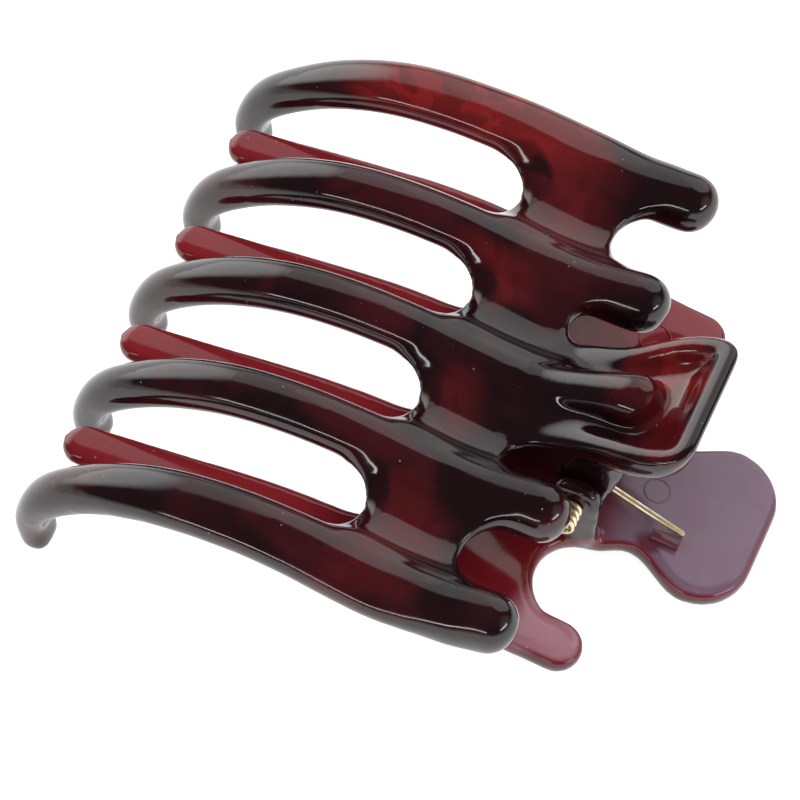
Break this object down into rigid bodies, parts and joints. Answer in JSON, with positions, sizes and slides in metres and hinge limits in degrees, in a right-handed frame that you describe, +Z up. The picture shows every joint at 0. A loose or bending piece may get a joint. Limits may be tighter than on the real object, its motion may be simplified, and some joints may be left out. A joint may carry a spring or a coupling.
{
  "type": "claw clip",
  "caption": "Large claw hair clip: a hooked, ribbed front jaw and a flatter rear jaw turn on one pin, closed by a torsion spring, with a squeeze pad on each.",
  "frame": {"origin": "middle of the footprint, on the table that the front prong tips and the rear thumb pad rest on", "axes": "+X from the prong tips to the thumb pads, +Y along the hinge pin, +Z up; the jaws lie tilted nose down by 10.7 degrees about Y"},
  "size_m": [0.0996, 0.0878, 0.0355],
  "materials": {
    "tortoise_plastic": "polished, translucent dark red-brown tortoiseshell acetate look",
    "gold_metal": "bright pale gold plating on wire"
  },
  "bodies": {
    "rear_half": {"rear_jaw": "tortoise_plastic", "hinge_pin": "gold_metal", "spring_coil": "gold_metal"},
    "front_half": {"front_jaw": "tortoise_plastic", "spring_front_leg": "gold_metal"}
  },
  "joints": [
    {"name": "jaw_hinge", "type": "hinge", "parent": "rear_half", "child": "front_half", "pos_m": [0.02488, 0, 0.0164], "axis": [0, 1, 0], "range_deg": [0, 55], "stiffness_Nm_per_rad": 0.15, "springref_deg": -51.57, "deforming": ["spring_coil"]}
  ]
}
